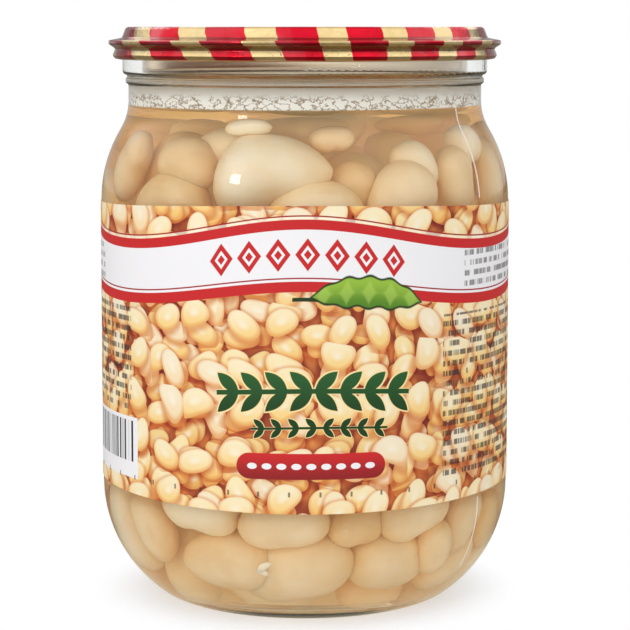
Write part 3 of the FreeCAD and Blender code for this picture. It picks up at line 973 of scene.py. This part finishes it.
def make_beans():
    """The front beans in place and the loose ones settled round them, as one mesh for each kind."""
    beans = []
    for azimuth, height, gap, length, width, thick, tilt, bend, taper, tint in FRONT_BEANS:
        kind = "kidney" if bend > 0.12 else "oval"
        bean = Bean(kind, length, width, thick, bend, taper, tint, rings=30, sides=28)
        beans.append(place_on_wall(bean, azimuth, height, gap, tilt))
    while len(beans) < BEAN_COUNT:
        bean = loose_bean()
        angle = random.uniform(0, TURN)
        radius = START_RADIUS * math.sqrt(random.random())
        height = random.uniform(*START_HEIGHTS)
        bean.centre = np.array((radius * math.cos(angle), radius * math.sin(angle), height))
        bean.turn = random_turn()
        beans.append(bean)
    worst = settle(beans, SETTLE_STEPS)
    print("beans:", len(beans), "deepest overlap mm:", round(worst, 2))
    for kind, skin, pale, deep in BEAN_SKINS:
        verts, faces, tints, ends = [], [], [], []
        for bean in beans:
            if bean.kind != kind:
                continue
            points, loops, end = bean.surface()
            start = len(verts)
            verts.extend(map(tuple, (points @ bean.turn.T + bean.centre) * MM))
            faces.extend(tuple(i + start for i in loop) for loop in loops)
            tints.extend([bean.tint] * len(points))
            ends.extend(end)
        material = bean_material(skin, pale, deep)
        piece = mesh_object(kind + "_beans", verts, faces, material, {"tint": tints, "ends": ends})
        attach(piece, "root")


# ------ on the glass

FILM_FOOT = BRINE_LEVEL + 0.1
FILM_HEAD = BRINE_LEVEL + 5.6
FILM_CLEARS = (BRINE_LEVEL + 1.5, BRINE_LEVEL + 5.0)
TIDE_LINES = BRINE_LEVEL + 2.9
FILM_THICK = 0.14
FILM_BEHIND = 0.08  # how far it reaches into the glass
FILM_COLUMNS = 960
FILM_ROWS = 28


def residue_material():
    """A cloudy film of starch, clearer higher up, with wandering brown tide lines low down."""
    s = Shader("residue")
    x, y, z = s.place_mm()
    drift = s.noise(s.vector(x, y, z), 0.5, 2.0)
    lines = s.size(s.minus(s.noise(s.vector(s.add(x, drift), y, s.times(z, 1.5)), 0.42, 3.0, 0.6), 0.5))
    low = s.below(z, TIDE_LINES, 0.7)
    share = s.times(s.below(lines, 0.026, 0.014), low, 0.8)
    film = {
        "Base Color": s.mix(share, (0.99, 0.95, 0.86), srgb(140, 104, 50)),
        "Roughness": 0.3,
        "IOR": 1.36,
        "Transmission Weight": s.ramp(z, *FILM_CLEARS, 0.12, 0.85),
    }
    return s.show(s.principled(film))


def layered_noise(x, y, z, octaves=3):
    """Noise about 0, with finer and weaker noise added."""
    total, weight = 0.0, 1.0
    for octave in range(octaves):
        step = 2.0**octave
        total += weight * noise.noise(Vector((x * step, y * step, z * step)))
        weight *= 0.55
    return total


def film_thickness(angle, z, bore):
    """The film's thickness in mm: uneven, and ragged along its upper edge. Below 0 there is none."""
    x, y = bore * math.cos(angle), bore * math.sin(angle)
    blobs = layered_noise(x * 0.55, y * 0.55, z * 1.1)
    ragged = layered_noise(x * 0.12 + 9, y * 0.12, 3.0, 2)
    up = (z - FILM_FOOT) / (FILM_HEAD - FILM_FOOT)
    return FILM_THICK * (0.95 + 0.75 * blobs - 1.6 * max(0.0, up - 0.85 - 0.2 * ragged))


def make_residue():
    """The crinkled film that sloshing left on the neck's bore, just above the brine."""
    bore = wall_radius(BRINE_LEVEL)
    columns, rows = FILM_COLUMNS, FILM_ROWS
    heights = [FILM_FOOT + (FILM_HEAD - FILM_FOOT) * row / rows for row in range(rows + 1)]
    angles = [TURN * column / columns for column in range(columns)]
    film = np.array([[film_thickness(angle, z, bore) for angle in angles] for z in heights])
    verts, faces = [], []
    index = {}

    def vertex(row, column, inner):
        column %= columns
        key = (row, column, inner)
        if key not in index:
            radius = bore - max(0.0, film[row, column]) if inner else bore + FILM_BEHIND
            index[key] = len(verts)
            verts.append(on_ring(radius, angles[column], heights[row]))
        return index[key]

    def wet(row, column):
        around = [column % columns, (column + 1) % columns]
        return 0 <= row < rows and film[row : row + 2, around].mean() > 0.0

    for row in range(rows):
        for column in range(columns):
            if not wet(row, column):
                continue
            corners = ((row, column), (row, column + 1), (row + 1, column + 1), (row + 1, column))
            faces.append(tuple(vertex(r, c, True) for r, c in reversed(corners)))
            faces.append(tuple(vertex(r, c, False) for r, c in corners))
            beside = ((row - 1, column), (row, column + 1), (row + 1, column), (row, column - 1))
            for step, place in enumerate(beside):
                if not wet(*place):
                    one, two = corners[step], corners[(step + 1) % 4]
                    edge = ((one, True), (two, True), (two, False), (one, False))
                    faces.append(tuple(vertex(*corner, inner) for corner, inner in edge))
    piece = mesh_object("residue_rim", verts, faces, residue_material())
    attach(piece, "root")


SEAM_AZIMUTHS = (55.0, 235.0)
SEAM_WIDTH = 0.42
SEAM_PROUD = 0.05
SEAM_FOOT = 9.5
SEAM_ROWS = 40
# across the seam, as a share of its width, and how proud it stands there, as a share of its height
SEAM_SECTION = ((-0.5, -0.1), (-0.3, 0.6), (0.0, 1.0), (0.3, 0.6), (0.5, -0.1))


def seam_glint_material():
    """Glass whiter than the wall round it: a painted glint along the seam."""
    s = Shader("seam glint")
    # painted glint: a pale, half clear finish
    painted_glint = {"Base Color": (1.0, 0.98, 0.94), "Roughness": 0.25, "Transmission Weight": 0.35}
    return s.show(s.principled(painted_glint))


def make_mould_seams():
    """The fine ridges that a mould leaves down opposite sides of the glass, clear of the label."""
    outer = sorted((z, r) for r, z in rings("jar_glass") if r > max(wall_radius(z) + 1.2, 36.0))
    heights, radii = zip(*outer)
    foot, head = (edge[2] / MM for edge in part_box("label"))
    stretches = ((SEAM_FOOT, foot - 0.3), (head + 0.3, BRINE_LEVEL + 0.5))
    verts, faces = [], []
    for azimuth in SEAM_AZIMUTHS:
        facing, side = at_azimuth(azimuth)
        for low, high in stretches:
            start = len(verts)
            for row in range(SEAM_ROWS + 1):
                z = low + (high - low) * row / SEAM_ROWS
                radius = float(np.interp(z, heights, radii))
                taper = min(1.0, 6.0 * row / SEAM_ROWS, 6.0 * (SEAM_ROWS - row) / SEAM_ROWS)
                for across, proud in SEAM_SECTION:
                    out = radius + SEAM_PROUD * (proud * taper if proud > 0 else proud)
                    verts.append((facing * out + side * (across * SEAM_WIDTH) + np.array((0, 0, z))) * MM)
            wide = len(SEAM_SECTION)
            for a in range(start, start + wide * SEAM_ROWS):
                if (a - start) % wide < wide - 1:
                    faces.append((a, a + 1, a + wide + 1, a + wide))
    piece = mesh_object("mould_seams", verts, faces, seam_glint_material())
    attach(piece, "root")


# ------ stage, camera, lamps

NECK_PASSES = (3.5, 5.5)
WHITE = (1.0, 1.0, 1.0)

FLOOR_HALF = 3.0
FLOOR_PAINT = (0.77, 0.785, 0.81)
FLOOR_GLOW = (0.28, 0.32, 0.36)
FLOOR_WHITENS = (31.0, 48.0)  # mm from the jar's middle
MIRROR_FADES = (40.0, 70.0)

# the studio where it is mirrored: how far up a direction points, and the brightness there
STUDIO_BANDS = ((0.0, 0.35), (0.22, 0.14), (0.36, 1.0), (0.7, 0.9), (0.9, 0.3))

CAMERA_AWAY = 0.480
CAMERA_BELOW_TOP = 0.67 * MM
CAMERA_DOWN = 5.7227
LENS = 126.59
LENS_SHIFT = (0.0162, -0.1)

# name, place, what it is aimed at, width, height, watts, and whether it is mirrored
JAR_MIDDLE = (0.0, 0.0, 0.06)
JAR_SHOULDER = (0.0, 0.0, 0.09)
LAMPS = (
    ("overhead box", (0.0, -0.30, 1.35), JAR_MIDDLE, 1.8, 1.4, 5.0, True),
    ("left box", (-1.25, -0.85, 0.75), JAR_MIDDLE, 1.4, 1.4, 3.9, False),
    ("right box", (1.30, -0.70, 0.70), JAR_MIDDLE, 1.2, 1.2, 2.3, False),
    ("low card", (-0.15, -1.1, 0.14), JAR_MIDDLE, 1.2, 0.3, 1.1, False),
    ("window", (-0.86, -1.02, 0.60), JAR_SHOULDER, 0.14, 0.17, 1.5, True),
)


def through_neck(s):
    """1 for a ray that has crossed both walls of the neck."""
    depth = s.path("Transmission Depth")
    return s.times(s.more(depth, NECK_PASSES[0]), s.less(depth, NECK_PASSES[1]))


def from_inside(s):
    """1 for a ray that has been through glass."""
    return s.more(s.path("Transmission Depth"), 0.5)


def make_floor():
    """A pale floor, plain white further off. Mirrored in the jar's outside it is darker further off."""
    s = Shader("floor")
    x, y, _ = s.place_mm()
    away = s.hypot(x, y)
    lit = s.node("BsdfDiffuse", {"Color": FLOOR_PAINT}).outputs[0]
    seen = s.join(s.ramp(away, *FLOOR_WHITENS), s.sum(lit, s.glow(FLOOR_GLOW, 1.0)), s.glow(WHITE, 1.0))
    whole = s.join(s.path("Is Camera Ray"), s.sum(lit, s.glow(WHITE, 0.2)), seen)
    # seen through both walls of the neck the floor shows painted brown, like the world there
    under = s.mix(through_neck(s), srgb(240, 238, 226), srgb(150, 118, 84))
    whole = s.join(s.path("Is Transmission Ray"), whole, s.glow(under, 0.9))
    beside = s.glow(srgb(212, 202, 180), s.ramp(away, *MIRROR_FADES, 1.0, 0.30))
    mirrored = s.join(from_inside(s), beside, s.glow(srgb(206, 198, 172), 0.8))
    whole = s.join(s.path("Is Glossy Ray"), whole, mirrored)
    corners = [(FLOOR_HALF * x, FLOOR_HALF * y, 0) for x, y in ((-1, -1), (1, -1), (1, 1), (-1, 1))]
    mesh_object("floor", corners, [(0, 1, 2, 3)], s.show(whole))


def make_world():
    """White to the eye, painted brown streaks through the neck, softer as light, banded where mirrored."""
    s = Shader("studio", world=True)
    x, _, z = s.split(s.node("TexCoord").outputs["Generated"])
    # painted brown streaks, seen only through both walls of the neck, stand in for what its glass shows
    streaks = s.noise(s.vector(s.times(x, 2.0), s.times(z, 60.0)), 1.0, 2.0)
    brown = s.mix(s.ramp(streaks, 0.43, 0.60), srgb(104, 66, 34), srgb(230, 206, 172))
    brown = s.mix(s.ramp(x, -0.03, 0.10, 0.0, 0.7), brown, srgb(188, 176, 160))
    seen = s.glow(s.mix(through_neck(s), WHITE, brown), 1.0, "Background")
    light = s.glow(WHITE, 0.62, "Background")
    bands = s.node("ValToRGB", {"Fac": z})
    stops = bands.color_ramp.elements
    for stop, (place, level) in zip(stops, STUDIO_BANDS):
        stop.position = place
        stop.color = (level, level, level, 1)
    for place, level in STUDIO_BANDS[2:]:
        stops.new(place).color = (level, level, level, 1)
    mirrored = s.mix(s.times(from_inside(s), 0.5), bands.outputs[0], srgb(214, 196, 168))
    mirrored = s.glow(mirrored, 1.35, "Background")
    either = s.larger(s.path("Is Camera Ray"), s.path("Is Transmission Ray"))
    s.show(s.join(either, s.join(s.path("Is Glossy Ray"), light, mirrored), seen))
    bpy.context.scene.world = s.material


def make_camera():
    """A long lens in front of the label, level with the lid and looking a little down."""
    lens = bpy.data.cameras.new("camera")
    lens.sensor_width = 36.0
    lens.lens = LENS
    lens.shift_x, lens.shift_y = LENS_SHIFT
    lens.clip_start = 0.01
    lens.clip_end = 20.0
    camera = bpy.data.objects.new("camera", lens)
    camera.location = (0.0, -CAMERA_AWAY, CAD_BOX[1][2] - CAMERA_BELOW_TOP)
    camera.rotation_euler = (math.radians(90 - CAMERA_DOWN), 0.0, 0.0)
    bpy.context.collection.objects.link(camera)
    bpy.context.scene.camera = camera


def make_lamps():
    """Soft boxes round the jar, and a window that glints on its shoulder."""
    for name, place, aim, width, height, watts, mirrored in LAMPS:
        data = bpy.data.lights.new(name, "AREA")
        data.shape = "RECTANGLE"
        data.size, data.size_y = width, height
        data.energy = watts
        lamp = bpy.data.objects.new(name, data)
        lamp.location = place
        lamp.rotation_euler = (Vector(aim) - Vector(place)).to_track_quat("-Z", "Y").to_euler()
        lamp.visible_camera = False
        lamp.visible_glossy = mirrored
        bpy.context.collection.objects.link(lamp)


# ------ everything together


def dress_frame():
    """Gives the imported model's own meshes their materials."""
    for node, material in (
        ("jar_glass", glass_material()),
        ("lid", lid_material(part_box("lid"))),
        ("label", label_material()),
    ):
        for slot in NODES[node].material_slots:
            slot.material = material


def main():
    scene = bpy.context.scene
    scene.view_settings.view_transform = "Standard"
    scene.cycles.max_bounces = 20
    scene.cycles.diffuse_bounces = 10
    scene.cycles.transmission_bounces = 16
    scene.cycles.transparent_max_bounces = 24
    scene.cycles.caustics_reflective = False
    dress_frame()
    make_brine()
    make_beans()
    make_residue()
    make_mould_seams()
    make_floor()
    make_world()
    make_camera()
    make_lamps()


main()
